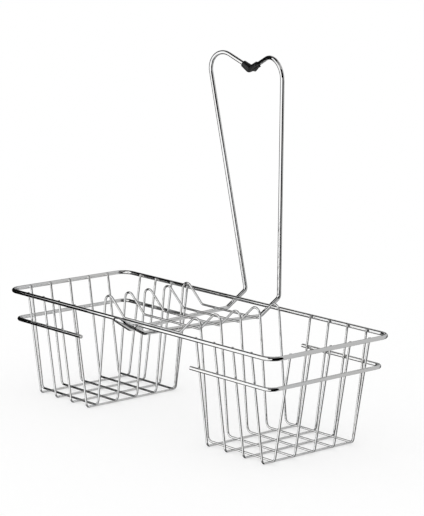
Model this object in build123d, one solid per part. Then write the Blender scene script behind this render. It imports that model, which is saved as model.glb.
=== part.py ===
from build123d import *
import os
from math import asin, atan2, cos, hypot, radians, sin, tan

# Hanging wire caddy: two baskets with a tray between them, under a heart-shaped hanging loop.
# +X runs along the rim, +Y to the back, +Z up. The origin is at the middle of the footprint,
# on the surface that the basket floors rest on. All sizes are in millimetres and degrees.

# Wire diameters
rim_wire = 4.2
band_wire = 3.8
grid_wire = 2.2
handle_wire = 4.2
weld_gap = 0.04  # hairline between two wires at a welded crossing
tip_round = 0.4  # on the edges of every cut tip

# Rim, over the outside of its wire
rim_length = 404.2
rim_width = 159.6
rim_top = 110.3
rim_corner = 13.0  # bend radii are at the middle of the wire
tip_rise = 1.7  # from the middle of the rim up to the cut tips of the grid wires

# Basket grid, whose walls lean inwards on their way down
end_lean = 10.1
side_lean = 8.1
inner_lean = 6.3  # walls next to the tray
basket_floor = 93.2  # along X, between the two feet of a long wire
floor_inset = 8.0  # from the foot of a wall to the first floor wire beside it
foot_bend = 4.0
inner_foot_bend = 6.0
long_wire_count = 5
cross_wire_count = 4

# Tray between the baskets
tray_drop = 6.6  # from the middle of the rim down to the middle of the tray wires
tray_bend = 5.0
peak_rise = 19.0  # from the middle of the rim up to the corner that a peak is bent from
peak_bend = 6.9
peak_slope = 28.9  # along X, from the corner of a peak to the corner at the tray's end

# Bands round the outer three sides of each basket
band_drop = 30.0  # from the middle of the rim down to the middle of the band
band_corner = 9.0
band_reach = 111.0  # along X, from its end to the cut tips of its arms

# Lower run of the handle: flat under the tray, then out and up under both rims
run_inset = 8.0  # from the middle of a rim inwards to the bend under the tray
foot_reach = 17.9  # from the middle of the back rim out to the feet of the legs
hook_reach = 16.3  # from the middle of the front rim out to the front end
foot_spread = 50.0
run_spread = 22.0  # between the two wires where they turn up to the front rim
hook_spread = 11.0
run_bend = 7.0
leg_foot_bend = 5.0
hook_bend = 4.8

# Heart-shaped loop, in the plane of the two legs
leg_length = 259.0  # from the foot to the corner that a lobe is bent from
leg_lean = 6.6  # forward of upright
lobe_spread = 113.0  # between the two lobe corners
lobe_bend = 18.3
notch_depth = 27.2  # from the lobe corners down to the notch
notch_set_back = 7.6  # from the plane of the legs back to the notch
notch_opening = 2.4  # between the two ends of the handle wire

# Rubber sleeve over the notch
sleeve_wall = 1.15
sleeve_reach = 13.0  # along each arm of the notch
sleeve_fit = 0.02  # between rubber and wire

# Places that follow from the sizes
half_length = (rim_length - rim_wire) / 2
half_width = (rim_width - rim_wire) / 2
rim_z = rim_top - rim_wire / 2
cross_floor_z = grid_wire / 2
long_floor_z = cross_floor_z + grid_wire + weld_gap
band_z = rim_z - band_drop
tray_z = rim_z - tray_drop
run_z = tray_z - grid_wire / 2 - weld_gap - handle_wire / 2
rim_to_grid = (rim_wire + grid_wire) / 2 + weld_gap
band_to_grid = (band_wire + grid_wire) / 2 + weld_gap
rim_to_handle = (rim_wire + handle_wire) / 2 + weld_gap


def leaning_wall(rim_middle, lean, z):
    """Where a wire that touches the inside of the rim and leans inwards lies at height z."""
    return rim_middle - rim_to_grid / cos(radians(lean)) - (rim_z - z) * tan(radians(lean))


def end_wall_x(z):
    return leaning_wall(half_length, end_lean, z)


def side_wall_y(z):
    return leaning_wall(half_width, side_lean, z)


end_foot_x = end_wall_x(long_floor_z)
inner_foot_x = end_foot_x - basket_floor
side_foot_y = side_wall_y(cross_floor_z)


def spaced(first, last, count):
    return [first + (last - first) * i / (count - 1) for i in range(count)]


long_wire_y = spaced(floor_inset - side_foot_y, side_foot_y - floor_inset, long_wire_count)
cross_wire_x = spaced(inner_foot_x + floor_inset, end_foot_x - floor_inset, cross_wire_count)


def round_wire(points, bends, diameter, close=False):
    """Round wire along straight runs joined by arcs, with its cut tips rounded."""
    path = FilletPolyline(*points, radius=bends, close=close)
    section = Plane(path @ 0, z_dir=path % 0) * Circle(diameter / 2)
    wire = sweep(section, path=path)
    tips = wire.faces().filter_by(GeomType.PLANE)
    return fillet(tips.edges(), tip_round) if tips else wire


def both_halves(points):
    """Continue a line of points by its mirror image across the YZ plane."""
    return points + [(-x, y, z) for x, y, z in reversed(points)]


def top_rim():
    x, y = half_length, half_width
    corners = [(-x, -y, rim_z), (x, -y, rim_z), (x, y, rim_z), (-x, y, rim_z)]
    return round_wire(corners, rim_corner, rim_wire, close=True)


def long_wire(y):
    """One wire through the whole length: end wall, floor, inner wall, peak, tray, and back."""
    tip_z = rim_z + tip_rise
    peak_z = rim_z + peak_rise
    peak_x = inner_foot_x - (peak_z - long_floor_z) * tan(radians(inner_lean))
    right = [
        (end_wall_x(tip_z), y, tip_z),
        (end_foot_x, y, long_floor_z),
        (inner_foot_x, y, long_floor_z),
        (peak_x, y, peak_z),
        (peak_x - peak_slope, y, tray_z),
    ]
    bends = [foot_bend, inner_foot_bend, peak_bend, tray_bend]
    return round_wire(both_halves(right), bends + bends[::-1], grid_wire)


def cross_wire(x):
    tip_z = rim_z + tip_rise
    tip_y = side_wall_y(tip_z)
    points = [
        (x, -tip_y, tip_z),
        (x, -side_foot_y, cross_floor_z),
        (x, side_foot_y, cross_floor_z),
        (x, tip_y, tip_z),
    ]
    return round_wire(points, foot_bend, grid_wire)


def band(side):
    """U-shaped band outside the grid wires, on the side +1 (right) or -1 (left)."""
    end_x = end_wall_x(band_z) + band_to_grid / cos(radians(end_lean))
    arm_y = side_wall_y(band_z) + band_to_grid / cos(radians(side_lean))
    tip_x = end_x - band_reach
    points = [(tip_x, -arm_y), (end_x, -arm_y), (end_x, arm_y), (tip_x, arm_y)]
    return round_wire([(side * x, y, band_z) for x, y in points], band_corner, band_wire)


# The runs under the tray turn up so that they just clear the underside of each rim.
run_drop = rim_z - run_z
rim_sight = hypot(run_inset, run_drop)
run_climb = atan2(run_drop, run_inset) - asin(rim_to_handle / rim_sight)


def run_height(reach):
    """Height of the climbing run at a distance outside the middle of the rim."""
    return run_z + (run_inset + reach) * tan(run_climb)


# Corners of the right half of the handle wire, from its front end to the notch
hook = Vector(hook_spread / 2, -half_width - hook_reach, run_height(hook_reach))
run_front = Vector(run_spread / 2, run_inset - half_width, run_z)
run_back = Vector(foot_spread / 2, half_width - run_inset, run_z)
foot = Vector(foot_spread / 2, half_width + foot_reach, run_height(foot_reach))
up_the_legs = Vector(0, -sin(radians(leg_lean)), cos(radians(leg_lean)))
behind_the_legs = Vector(0, cos(radians(leg_lean)), sin(radians(leg_lean)))
lobe = Vector(lobe_spread / 2, foot.Y, foot.Z) + up_the_legs * leg_length
notch = Vector(0, foot.Y, foot.Z) + up_the_legs * (leg_length - notch_depth)
notch += behind_the_legs * notch_set_back
notch_arm = (lobe - notch).normalized()
wire_end = notch + notch_arm * (notch_opening / 2)


def handle():
    """One wire from the notch round the right lobe, under the tray, and back to the notch."""
    right = [wire_end, lobe, foot, run_back, run_front, hook]
    bends = [lobe_bend, leg_foot_bend, run_bend, run_bend, hook_bend]
    return round_wire(both_halves([tuple(p) for p in right]), bends + bends[::-1], handle_wire)


def rubber_sleeve():
    """Soft tube folded at the notch, with square ends."""
    bore = handle_wire / 2 + sleeve_fit
    overlap = bore + sleeve_wall  # past the fold, where each half is cut off
    along = Plane(notch - notch_arm * overlap, z_dir=notch_arm)
    reach = overlap + sleeve_reach
    from_start = (Align.CENTER, Align.CENTER, Align.MIN)
    tube = along * Cylinder(bore + sleeve_wall, reach, align=from_start)
    hole = along * Cylinder(bore, reach, align=from_start)
    right_tube = split(tube, bisect_by=Plane.YZ, keep=Keep.TOP)
    right_hole = split(hole, bisect_by=Plane.YZ, keep=Keep.TOP)
    return right_tube + mirror(right_tube, Plane.YZ) - right_hole - mirror(right_hole, Plane.YZ)


def sub_parts():
    parts = {
        "top_rim": top_rim(),
        "left_band": band(-1),
        "right_band": band(1),
        "handle_wire": handle(),
        "rubber_sleeve": rubber_sleeve(),
    }
    for number, y in enumerate(long_wire_y, 1):
        parts[f"long_wire_{number}"] = long_wire(y)
    for number, x in enumerate(cross_wire_x, 1):
        parts[f"left_cross_wire_{number}"] = cross_wire(-x)
        parts[f"right_cross_wire_{number}"] = cross_wire(x)
    return parts


os.makedirs("parts", exist_ok=True)
for name, shape in sub_parts().items():
    export_step(shape, f"parts/{name}.step")
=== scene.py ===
from itertools import product
from math import cos, pi, radians, sin, sqrt

import bpy
from mathutils import Matrix, Vector


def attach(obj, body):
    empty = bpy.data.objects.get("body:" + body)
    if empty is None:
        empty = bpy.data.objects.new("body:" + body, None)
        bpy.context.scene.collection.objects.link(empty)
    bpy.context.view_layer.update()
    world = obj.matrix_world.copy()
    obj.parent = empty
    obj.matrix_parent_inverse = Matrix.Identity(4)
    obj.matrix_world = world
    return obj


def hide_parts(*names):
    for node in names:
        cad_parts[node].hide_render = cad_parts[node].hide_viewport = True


# Looks of the hanging wire caddy: chromed wires with their welds, and the rubber sleeve.
# Everything is in metres and degrees, in the frame of the solids.

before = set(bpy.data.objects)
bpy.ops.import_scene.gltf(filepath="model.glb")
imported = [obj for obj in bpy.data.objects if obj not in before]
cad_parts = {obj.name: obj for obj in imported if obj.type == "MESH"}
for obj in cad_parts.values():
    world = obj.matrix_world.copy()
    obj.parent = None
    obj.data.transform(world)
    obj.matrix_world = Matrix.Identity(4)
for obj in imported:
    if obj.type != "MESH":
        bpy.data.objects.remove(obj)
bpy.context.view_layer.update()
MM = 0.001

# Welds
shortest_run = 3.5 * MM  # mesh edges longer than this lie along straight runs of wire
touch_limit = 0.12 * MM  # two wires nearer than this are welded
weld_height = 0.9 * MM  # how far apart the wires are where the weld's rim meets them
weld_share = 0.62  # most that this height may be, as a share of both wires' radii together
weld_edge = 0.98  # most that the weld's rim may reach across a wire, as a share of its radius
weld_slant = 0.05  # a direction nearer than this to a wire's own counts as this far from it
weld_waist = 0.5  # how far out the weld's hollow side stands, as a share of its rim
weld_sides = 32
weld_steps = 4

# Rubber sleeve
sleeve_radius = 3.25 * MM
left_reach = 10.8 * MM  # along each arm, from the fold to the cut end
right_reach = 12.2 * MM
sleeve_fit = 0.05 * MM  # between rubber and wire
sleeve_cut = 0.25 * MM  # rounding of the cut ends' edges
cut_middle = 0.3  # how far in the middle of that rounding lies, as a share of it
bore_depth = 3.5 * MM  # how much of the bore is made at each end
lip_depth = 1.5 * MM  # how far into the bore the lip has half closed

# The sleeve's fold, which squeezes the tube flat and bulges its wall out below
fold_reach = 12.0 * MM  # how far along each arm the fold changes the tube
turn_fade = 1.5  # how fast the rings turn square to the wire away from the fold
ear_drop = 2.5 * MM  # how far the wall bulges down, in front and behind
ear_round = 1.5 * MM  # how much of that is rounded off at the fold itself
ear_length = 3.5 * MM  # how far the rounding reaches along each arm
ear_spread = 0.72  # how much wider the folded tube is, as a share of its radius
ear_fill = 1.7  # how full each bulge is, before it is capped at 1
ear_rise = 0.6  # how steeply it fills from the tube's middle down
ear_gap = 1.3  # how steeply it thins towards the tube's lowest line
notch_rise = 2.0 * MM  # how far the wall is drawn up between the two bulges
notch_reach = 4.5 * MM  # how far along each arm it is drawn up
notch_fade = 1.5
notch_narrow = 5  # the higher, the narrower

# The sleeve's lower lips, cut at a slant and standing off the wire
left_lip = 0.12  # how open each lip is, from 0 to 1
right_lip = 1.0
lip_gap = 0.5 * MM  # how far a lip that is fully open stands off the wire
lip_slant = 4.6 * MM  # how much longer than the upper half it is
lip_start = 0.6  # where it starts to open, as a share of the reach
lip_narrow = 3  # the higher, the narrower

# Rings of vertices in the sleeve
sleeve_sides = 48
ring_count = 18  # between the fold and each cut end
ring_crowding = 1.3  # crowds them towards the fold

# Studio
card_centre = Vector((0, 0, 0.1))
card_distance = 1.0
card_columns = 24
card_rows = 10
floor_half = 6.0
floor_glow = 0.45  # share of the floor's white that shadows don't darken

# Camera, fitted to the wires in the photograph
camera_azimuth = 48.494  # 0 looks along +Y and 90 along -X
camera_elevation = 10.972
camera_roll = 0.545
camera_distance = 2.1385
camera_aim = Vector((-0.0094, 0.0349, 0.1568))
photo_height = 516
focal_pixels = 2131.8


# ---------------------------------------------------------------- shapes


def straight_runs(node):
    """Middle line and radius of each straight run of a round wire, measured on its mesh.

    The long edges of a straight run all join its two end rings, so they hang together.
    """
    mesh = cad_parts[node].data
    place = [tuple(round(c, 6) for c in v.co) for v in mesh.vertices]
    group = {}

    def root(p):
        while group.setdefault(p, p) != p:
            p = group[p]
        return p

    for edge in mesh.edges:
        a, b = (place[i] for i in edge.vertices)
        if (Vector(a) - Vector(b)).length > shortest_run:
            group[root(a)] = root(b)
    rings = {}
    for p in list(group):
        rings.setdefault(root(p), []).append(Vector(p))
    runs = []
    for points in rings.values():
        middle = sum(points, Vector()) / len(points)
        far = max(points, key=lambda p: (p - middle).length)
        side = [p for p in points if (p - far).length < (p - middle).length]
        rest = [p for p in points if (p - far).length >= (p - middle).length]
        start = sum(side, Vector()) / len(side)
        end = sum(rest, Vector()) / len(rest)
        runs.append((start, end, (far - start).length))
    return runs


def nearest(run_a, run_b):
    """The points where two straight runs come nearest to each other."""
    a, b, _ = run_a
    c, d, _ = run_b
    u, v, w = b - a, d - c, a - c
    uu, uv, vv, uw, vw = u.dot(u), u.dot(v), v.dot(v), u.dot(w), v.dot(w)
    spread = uu * vv - uv * uv
    s = 0.5 if spread < 1e-16 else (uv * vw - vv * uw) / spread
    s = min(max(s, 0), 1)
    t = min(max((uv * s + vw) / vv, 0), 1)
    return a + u * s, c + v * t


def new_piece(name, vertices, faces, material):
    """A smooth mesh that moves with the object."""
    mesh = bpy.data.meshes.new(name)
    mesh.from_pydata([tuple(v) for v in vertices], [], faces)
    mesh.polygons.foreach_set("use_smooth", [True] * len(faces))
    mesh.materials.append(material)
    mesh.update()
    piece = bpy.data.objects.new(name, mesh)
    bpy.context.scene.collection.objects.link(piece)
    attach(piece, "root")
    return piece


def fall(radius, offset):
    """How far a round wire's surface falls away at an offset from its nearest line."""
    return radius - sqrt(max(radius * radius - offset**2, 0))


def weld(place, normal, run_a, run_b):
    """Hollow-sided ring of metal round the place where two wires touch."""
    axes = [(run[1] - run[0]).normalized() for run in (run_a, run_b)]
    radii = [run[2] for run in (run_a, run_b)]
    first = normal.orthogonal().normalized()
    second = normal.cross(first)
    height = min(weld_height, weld_share * (radii[0] + radii[1]))
    vertices = []
    for k in range(weld_sides):
        angle = 2 * pi * k / weld_sides
        out = first * cos(angle) + second * sin(angle)
        across = [out.cross(axis).length for axis in axes]

        # Halve the range until the wires are as far apart at the weld's rim as it is high.
        low, high = 0, weld_edge * min(r / max(c, weld_slant) for r, c in zip(radii, across))
        for _ in range(30):
            reach = (low + high) / 2
            falls = [fall(r, reach * c) for r, c in zip(radii, across)]
            if falls[0] + falls[1] < height:
                low = reach
            else:
                high = reach
        on_a = out * reach - normal * falls[0]
        on_b = out * reach + normal * falls[1]
        waist = out * reach * weld_waist + (on_a + on_b - out * 2 * reach) / 2
        for i in range(weld_steps + 1):
            t = i / weld_steps
            vertices.append(place + on_a * (1 - t) ** 2 + waist * 2 * t * (1 - t) + on_b * t * t)
    column = weld_steps + 1
    faces = []
    for k in range(weld_sides):
        for i in range(weld_steps):
            a, b = k * column + i, (k + 1) % weld_sides * column + i
            faces.append((a, b, b + 1, a + 1))
    return vertices, faces


def weld_piece(name, nodes_a, nodes_b, runs, material):
    """One mesh of all the welds between two groups of wires."""
    vertices, faces = [], []
    for node_a, node_b in product(nodes_a, nodes_b):
        for run_a, run_b in product(runs[node_a], runs[node_b]):
            on_a, on_b = nearest(run_a, run_b)
            gap = (on_b - on_a).length - run_a[2] - run_b[2]
            if gap > touch_limit:
                continue
            normal = (on_b - on_a).normalized()
            place = on_a + normal * (run_a[2] + gap / 2)
            more, quads = weld(place, normal, run_a, run_b)
            faces += [tuple(i + len(vertices) for i in quad) for quad in quads]
            vertices += more
    return new_piece(name, vertices, faces, material)


def notch_arms(runs):
    """The handle wire's last straight runs, left and right, each from the notch outwards."""

    def from_notch(run):
        """Least for the runs that end at the notch, which are near the middle and high up."""
        return min(abs(run[0].x), abs(run[1].x)) - run[0].z

    arms = sorted(runs["handle_wire"], key=from_notch)[:2]
    arms = [run if abs(run[0].x) < abs(run[1].x) else (run[1], run[0], run[2]) for run in arms]
    return sorted(arms, key=lambda run: run[1].x)


def sleeve_ring(fold, arm, reach, radius, lip):
    """One ring of the sleeve at a distance from the fold; lip opens its lower half."""
    across = (Vector((0, 1, 0)) - arm * arm.y).normalized()
    up = across.cross(arm)
    if up.z < 0:
        up = -up
    near = max(0, 1 - reach / fold_reach)
    turn = sqrt(1 - arm.x * arm.x) / abs(arm.x) * near**turn_fade
    drop = ear_drop * near - ear_round * max(0, 1 - reach / ear_length) ** 2
    draw = notch_rise * max(0, 1 - reach / notch_reach) ** notch_fade
    vertices = []
    for k in range(sleeve_sides):
        angle = 2 * pi * k / sleeve_sides
        low = max(0, -sin(angle))  # 0 on the upper half, 1 on the tube's lowest line
        ear = min(1, ear_fill * low**ear_rise * abs(cos(angle)) ** ear_gap)
        open_lip = lip * low**lip_narrow
        height = sin(angle) * radius - drop * ear + draw * low**notch_narrow - open_lip * lip_gap
        aside = cos(angle) * radius * (1 + near * ear_spread * (1 + low) / 2)
        slide = turn * height + open_lip * lip_slant
        vertex = fold + arm * (reach + slide) + across * aside + up * height
        if reach == 0:
            vertex.x = fold.x
        vertices.append(vertex)
    return vertices


def sleeve_stations(end, lip, bore):
    """Reach, radius and lip of an arm's rings, from the fold to the cut end and back inside."""
    outer, cut = sleeve_radius, sleeve_cut
    middle = cut * cut_middle
    rows = []
    for i in range(ring_count):
        share = (i / ring_count) ** ring_crowding
        opening = max(0, (share - lip_start) / (1 - lip_start)) ** 2
        rows.append((end * share, outer, lip * opening))
    rows += [(end - cut, outer, lip), (end - middle, outer - middle, lip), (end, outer - cut, lip)]
    rows += [(end, bore + cut, lip), (end - middle, bore + middle, lip), (end - cut, bore, lip)]
    rows += [(end - lip_depth, bore, lip / 2), (end - bore_depth, bore, 0)]
    return rows


def sleeve_piece(runs, material):
    """Soft tube pushed over both ends of the handle wire and folded in the notch between them.

    Rings of vertices run from one cut end to the other. They stand square to the wire at the ends
    and turn into the middle plane at the fold, where the tube is squeezed flat, so that its wall
    bulges out below in front and behind.
    """
    left, right = notch_arms(runs)
    arm_left = (left[1] - left[0]).normalized()
    arm_right = (right[1] - right[0]).normalized()
    fold = right[0] - arm_right * (right[0].x / arm_right.x)
    bore = right[2] + sleeve_fit
    rows = [(arm_left, *row) for row in sleeve_stations(left_reach, left_lip, bore)][::-1]
    rows += [(arm_right, *row) for row in sleeve_stations(right_reach, right_lip, bore)][1:]
    vertices = []
    for row in rows:
        vertices += sleeve_ring(fold, *row)
    faces = []
    for r, k in product(range(len(rows) - 1), range(sleeve_sides)):
        a = r * sleeve_sides + k
        b = r * sleeve_sides + (k + 1) % sleeve_sides
        faces.append((a, b, b + sleeve_sides, a + sleeve_sides))
    piece = new_piece("sleeve", vertices, faces, material)
    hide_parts("rubber_sleeve")
    return piece


# ---------------------------------------------------------------- materials


def material_nodes(name):
    material = bpy.data.materials.new(name)
    material.use_nodes = True
    tree = material.node_tree
    return material, tree, tree.nodes["Principled BSDF"]


def noise(tree, scale, detail, roughness=0.5):
    """Noise in the object's own space, of so many waves per metre."""
    place = tree.nodes.new("ShaderNodeTexCoord")
    node = tree.nodes.new("ShaderNodeTexNoise")
    node.inputs["Scale"].default_value = scale
    node.inputs["Detail"].default_value = detail
    node.inputs["Roughness"].default_value = roughness
    tree.links.new(place.outputs["Object"], node.inputs["Vector"])
    return node.outputs["Fac"]


def colour_from(tree, shader, source, dark, light, start=0.0, end=1.0):
    """Base colour between two colours, as a noise goes from start to end."""
    ramp = tree.nodes.new("ShaderNodeValToRGB")
    low, high = ramp.color_ramp.elements
    low.position, high.position = start, end
    low.color, high.color = (*dark, 1), (*light, 1)
    tree.links.new(source, ramp.inputs["Fac"])
    tree.links.new(ramp.outputs["Color"], shader.inputs["Base Color"])


def roughness_from(tree, shader, source, smooth, rough):
    """Roughness between two values, over the middle of a noise's range."""
    node = tree.nodes.new("ShaderNodeMapRange")
    node.inputs["From Min"].default_value = 0.3
    node.inputs["From Max"].default_value = 0.7
    node.inputs["To Min"].default_value = smooth
    node.inputs["To Max"].default_value = rough
    tree.links.new(source, node.inputs["Value"])
    tree.links.new(node.outputs["Result"], shader.inputs["Roughness"])


def bump_from(tree, shader, source, strength, distance):
    bump = tree.nodes.new("ShaderNodeBump")
    bump.inputs["Strength"].default_value = strength
    bump.inputs["Distance"].default_value = distance
    tree.links.new(source, bump.inputs["Height"])
    tree.links.new(bump.outputs["Normal"], shader.inputs["Normal"])


def chrome(name, tone, smooth, haze, ripple):
    """Bright chrome plate: drawn wire's faint waves, patches of haze and a cool to warm drift."""
    material, tree, shader = material_nodes(name)
    shader.inputs["Metallic"].default_value = 1.0
    cool = (tone * 0.985, tone * 0.993, tone)
    warm = (tone, tone * 0.995, tone * 0.985)
    drift = noise(tree, scale=35, detail=3)
    colour_from(tree, shader, drift, cool, warm, start=0.35, end=0.65)
    patches = noise(tree, scale=420, detail=4, roughness=0.6)
    roughness_from(tree, shader, patches, smooth, haze)
    waves = noise(tree, scale=90, detail=2)
    bump_from(tree, shader, waves, strength=1.0, distance=ripple)
    return material


def rubber():
    """Soft black rubber: satin, faintly mottled, with a fine grain."""
    material, tree, shader = material_nodes("sleeve_rubber")
    shader.inputs["Specular IOR Level"].default_value = 0.6
    mottle = noise(tree, scale=300, detail=4)
    colour_from(tree, shader, mottle, (0.0025, 0.0025, 0.0027), (0.007, 0.007, 0.0075))
    sheen = noise(tree, scale=900, detail=3)
    roughness_from(tree, shader, sheen, 0.3, 0.42)
    grain = noise(tree, scale=2600, detail=3)
    bump_from(tree, shader, grain, strength=0.15, distance=0.05 * MM)
    return material


def glow(name, shade):
    """A plain surface of one brightness, for the cards that the chrome reflects."""
    material = bpy.data.materials.new(name)
    material.use_nodes = True
    tree = material.node_tree
    tree.nodes.clear()
    light = tree.nodes.new("ShaderNodeEmission")
    light.inputs["Color"].default_value = (shade, shade, shade, 1)
    out = tree.nodes.new("ShaderNodeOutputMaterial")
    tree.links.new(light.outputs["Emission"], out.inputs["Surface"])
    return material


# ---------------------------------------------------------------- studio


def stage_piece(name, vertices, faces, material):
    """A mesh of the studio, which isn't part of the object."""
    mesh = bpy.data.meshes.new(name)
    mesh.from_pydata([tuple(v) for v in vertices], [], faces)
    mesh.materials.append(material)
    piece = bpy.data.objects.new(name, mesh)
    bpy.context.scene.collection.objects.link(piece)
    return piece


def direction(azimuth, elevation):
    """Unit vector towards a place in the studio; azimuth 0 is +X and 90 is +Y."""
    a, e = radians(azimuth), radians(elevation)
    return Vector((cos(a) * cos(e), sin(a) * cos(e), sin(e)))


def card(name, azimuths, elevations, shade):
    """Curved card round the object between two azimuths and two elevations.

    Only reflections show it.
    """
    vertices = []
    for j, i in product(range(card_rows + 1), range(card_columns + 1)):
        elevation = elevations[0] + (elevations[1] - elevations[0]) * j / card_rows
        azimuth = azimuths[0] + (azimuths[1] - azimuths[0]) * i / card_columns
        vertices.append(card_centre + direction(azimuth, elevation) * card_distance)
    row = card_columns + 1
    faces = []
    for j, i in product(range(card_rows), range(card_columns)):
        a = j * row + i
        faces.append((a, a + 1, a + row + 1, a + row))
    piece = stage_piece(name, vertices, faces, glow(name, shade))
    piece.visible_camera = False
    piece.visible_diffuse = False
    piece.visible_shadow = False
    piece.visible_transmission = False


def floor():
    """White floor that keeps a soft shadow."""
    material, tree, shader = material_nodes("floor")
    shader.inputs["Base Color"].default_value = (1, 1, 1, 1)
    shader.inputs["Roughness"].default_value = 0.9
    shader.inputs["Specular IOR Level"].default_value = 0.0
    light = tree.nodes.new("ShaderNodeEmission")
    mix = tree.nodes.new("ShaderNodeMixShader")
    mix.inputs["Fac"].default_value = floor_glow
    tree.links.new(shader.outputs["BSDF"], mix.inputs[1])
    tree.links.new(light.outputs["Emission"], mix.inputs[2])
    tree.links.new(mix.outputs["Shader"], tree.nodes["Material Output"].inputs["Surface"])
    h = floor_half
    corners = [(-h, -h, 0), (h, -h, 0), (h, h, 0), (-h, h, 0)]
    piece = stage_piece("floor", corners, [(0, 1, 2, 3)], material)
    piece.visible_glossy = False


def surroundings():
    """White all round, for the background and for soft light from every side."""
    world = bpy.data.worlds.new("surroundings")
    world.use_nodes = True
    sky = world.node_tree.nodes["Background"]
    sky.inputs["Color"].default_value = (1, 1, 1, 1)
    sky.inputs["Strength"].default_value = 1.0
    bpy.context.scene.world = world


def camera():
    a, e = radians(camera_azimuth), radians(camera_elevation)
    back = Vector((sin(a) * cos(e), -cos(a) * cos(e), sin(e)))
    level = Vector((cos(a), sin(a), 0))
    roll = radians(camera_roll)
    right = level * cos(roll) + back.cross(level) * sin(roll)
    up = back.cross(right)
    lens = bpy.data.cameras.new("camera")
    lens.sensor_width = 36
    lens.lens = focal_pixels / photo_height * lens.sensor_width
    lens.clip_end = 50
    view = bpy.data.objects.new("camera", lens)
    bpy.context.scene.collection.objects.link(view)
    turn = Matrix((right, up, back)).transposed().to_4x4()
    view.matrix_world = Matrix.Translation(camera_aim + back * camera_distance) @ turn
    bpy.context.scene.camera = view


# ---------------------------------------------------------------- the scene

wire_names = [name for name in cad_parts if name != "rubber_sleeve"]
runs = {name: straight_runs(name) for name in wire_names}
long_wires = [name for name in wire_names if name.startswith("long_wire")]
cross_wires = [name for name in wire_names if "cross_wire" in name]
grid_wires = long_wires + cross_wires
bands = ["left_band", "right_band"]

rim_chrome = chrome("rim_chrome", tone=0.98, smooth=0.01, haze=0.035, ripple=0.035 * MM)
band_chrome = chrome("band_chrome", tone=0.98, smooth=0.01, haze=0.035, ripple=0.035 * MM)
grid_chrome = chrome("grid_chrome", tone=0.97, smooth=0.015, haze=0.045, ripple=0.03 * MM)
handle_chrome = chrome("handle_chrome", tone=0.98, smooth=0.01, haze=0.035, ripple=0.035 * MM)
weld_chrome = chrome("weld_chrome", tone=0.85, smooth=0.1, haze=0.25, ripple=0.3 * MM)
sleeve_rubber = rubber()

finishes = {name: grid_chrome for name in grid_wires}
finishes |= {name: band_chrome for name in bands}
finishes |= {"top_rim": rim_chrome, "handle_wire": handle_chrome}
for name in wire_names:
    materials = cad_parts[name].data.materials
    materials.clear()
    materials.append(finishes[name])

weld_piece("rim_welds", ["top_rim"], grid_wires, runs, weld_chrome)
weld_piece("band_welds", bands, grid_wires, runs, weld_chrome)
weld_piece("floor_welds", long_wires, cross_wires, runs, weld_chrome)
carried = ["top_rim"] + long_wires
weld_piece("handle_welds", ["handle_wire"], carried, runs, weld_chrome)
sleeve_piece(runs, sleeve_rubber)

bpy.context.scene.view_settings.view_transform = "Standard"
surroundings()
floor()

# Cards round the object: name, azimuths, elevations and brightness. The camera is at azimuth -41.
cards = [
    ("dark_left", (150, 213.5), (-90, 90), 0.005),
    ("dark_low_left", (213.5, 221), (-90, 10), 0.005),
    ("dark_top_left", (-145, -62), (56, 90), 0.0),
    ("bright_top_left", (-145, -62), (40, 56), 0.75),
    ("grey_low_left", (-139, -62), (-90, -38), 0.45),
    ("dark_front", (-64, 24), (2, 46), 0.0),
    ("lamp_top", (-62, 24), (46, 90), 0.35),
    ("dark_front_low", (-62, -38), (-90, -38), 0.05),
    ("dark_front_right", (-38, 30), (-90, 2), 0.0),
    ("dark_right_high", (24, 32), (22, 90), 0.1),
    ("grey_right", (24, 30), (2, 22), 0.49),
    ("grey_far_right", (30, 64), (-32, 32), 0.49),
    ("grey_right_top", (32, 128), (32, 62), 0.5),
    ("grey_right_foot", (30, 128), (-62, -32), 0.48),
    ("grey_back_right", (64, 80), (-32, 6), 0.2),
    ("grey_back_corner", (64, 118), (6, 32), 0.47),
    ("dark_back_corner", (118, 128), (6, 32), 0.02),
    ("dark_back", (80, 128), (-32, 6), 0.02),
    ("grey_back_left", (128, 150), (-62, 62), 0.35),
    ("dark_top_back", (32, 150), (62, 90), 0.03),
    ("dark_foot_back", (30, 150), (-90, -62), 0.03),
]
for name, azimuths, elevations, shade in cards:
    card(name, azimuths, elevations, shade)
camera()
